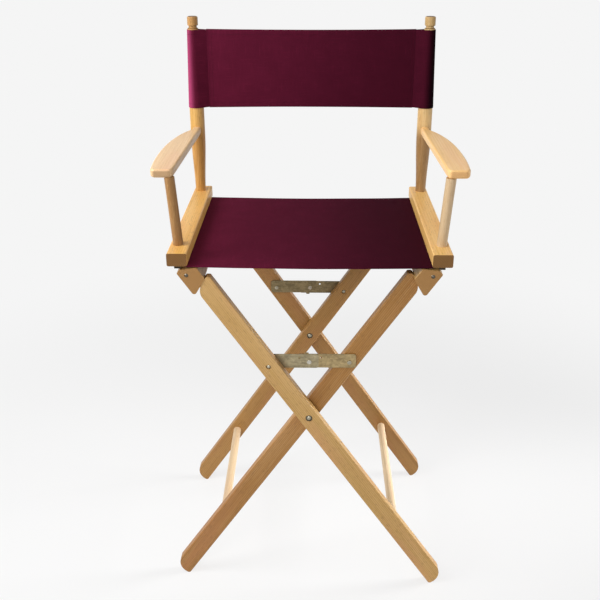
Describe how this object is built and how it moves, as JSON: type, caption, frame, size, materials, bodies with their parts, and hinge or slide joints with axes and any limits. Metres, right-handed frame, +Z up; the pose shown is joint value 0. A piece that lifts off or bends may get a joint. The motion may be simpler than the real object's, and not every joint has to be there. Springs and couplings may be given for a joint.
{
  "type": "directors chair",
  "caption": "Tall folding directors chair: crossed wooden leg frames with locking braces, hinged arm frames, canvas seat and back.",
  "frame": {"origin": "floor level, midway between the armrests and between the front and rear hinge pins, chair open", "axes": "+Z up along the chair's height, +Y towards its back, +X towards the right armrest as seen from the front"},
  "size_m": [0.585, 0.406, 1.149],
  "materials": {
    "lacquered_wood": "clear satin lacquer on pale hardwood",
    "dowel_wood": "clear satin lacquer on paler turned dowel",
    "zinc_steel": "dull zinc plating",
    "maroon_canvas": "plain weave cotton canvas"
  },
  "bodies": {
    "crossing_hardware": {"pivot_bolts": "zinc_steel", "pivot_washers": "zinc_steel", "pivot_spacers": "zinc_steel", "pivot_nuts": "zinc_steel"},
    "outer_frame": {"outer_front_leg": "lacquered_wood", "outer_rear_leg": "lacquered_wood", "hinge_rail_left": "lacquered_wood", "stretcher_right": "dowel_wood", "leg_screws_left": "zinc_steel", "brace_bolts_left": "zinc_steel", "hinge_pins_left": "zinc_steel"},
    "inner_frame": {"inner_front_leg": "lacquered_wood", "inner_rear_leg": "lacquered_wood", "hinge_rail_right": "lacquered_wood", "stretcher_left": "dowel_wood", "leg_screws_right": "zinc_steel", "brace_bolts_right": "zinc_steel", "hinge_pins_right": "zinc_steel"},
    "left_arm_frame": {"seat_rail_left": "lacquered_wood", "front_post_left": "dowel_wood", "rear_post_left": "lacquered_wood", "armrest_left": "lacquered_wood", "hinge_brackets_left": "zinc_steel", "bracket_screws_left": "zinc_steel", "arm_screw_left": "zinc_steel", "seat_rod_left": "dowel_wood", "seat_sling": "maroon_canvas", "back_sling": "maroon_canvas"},
    "right_arm_frame": {"seat_rail_right": "lacquered_wood", "front_post_right": "dowel_wood", "rear_post_right": "lacquered_wood", "armrest_right": "lacquered_wood", "hinge_brackets_right": "zinc_steel", "bracket_screws_right": "zinc_steel", "arm_screw_right": "zinc_steel", "seat_rod_right": "dowel_wood"},
    "front_left_link": {"front_brace_left": "zinc_steel", "front_brace_rivet_front": "zinc_steel"},
    "front_right_link": {"front_brace_right": "zinc_steel", "front_brace_rivet_back": "zinc_steel"},
    "rear_left_link": {"rear_brace_left": "zinc_steel", "rear_brace_rivet_back": "zinc_steel"},
    "rear_right_link": {"rear_brace_right": "zinc_steel", "rear_brace_rivet_front": "zinc_steel"}
  },
  "joints": [
    {"name": "fold", "type": "hinge", "parent": "inner_frame", "child": "outer_frame", "pos_m": [0, 0, 0.41973], "axis": [0, 1, 0], "range_deg": [0, 59]},
    {"name": "inner_frame_turn", "type": "hinge", "parent": "crossing_hardware", "child": "inner_frame", "pos_m": [0, 0, 0.41973], "axis": [0, 1, 0], "range_deg": [-29.5, 0]},
    {"name": "left_arm_turn", "type": "hinge", "parent": "outer_frame", "child": "left_arm_frame", "pos_m": [-0.2267, 0, 0.729], "axis": [0, 1, 0], "range_deg": [-29.5, 0], "deforming": ["seat_sling", "back_sling"]},
    {"name": "right_arm_turn", "type": "hinge", "parent": "inner_frame", "child": "right_arm_frame", "pos_m": [0.2267, 0, 0.729], "axis": [0, 1, 0], "range_deg": [0, 29.5]},
    {"name": "front_left_link_turn", "type": "hinge", "parent": "outer_frame", "child": "front_left_link", "pos_m": [-0.07829, -0.179, 0.53579], "axis": [0, 1, 0], "range_deg": [-111.43, 0]},
    {"name": "front_right_link_turn", "type": "hinge", "parent": "inner_frame", "child": "front_right_link", "pos_m": [0.07829, -0.179, 0.53579], "axis": [0, 1, 0], "range_deg": [0, 111.43]},
    {"name": "rear_left_link_turn", "type": "hinge", "parent": "outer_frame", "child": "rear_left_link", "pos_m": [-0.07829, 0.165, 0.53579], "axis": [0, 1, 0], "range_deg": [-111.43, 0]},
    {"name": "rear_right_link_turn", "type": "hinge", "parent": "inner_frame", "child": "rear_right_link", "pos_m": [0.07829, 0.165, 0.53579], "axis": [0, 1, 0], "range_deg": [0, 111.43]}
  ],
  "couplings": [
    {"joint": "inner_frame_turn", "follows": "fold", "ratio": -0.5},
    {"joint": "left_arm_turn", "follows": "fold", "ratio": -0.5},
    {"joint": "right_arm_turn", "follows": "fold", "ratio": 0.5},
    {"joint": "front_left_link_turn", "follows": "fold", "ratio": -1.8887},
    {"joint": "front_right_link_turn", "follows": "fold", "ratio": 1.8887},
    {"joint": "rear_left_link_turn", "follows": "fold", "ratio": -1.8887},
    {"joint": "rear_right_link_turn", "follows": "fold", "ratio": 1.8887}
  ]
}
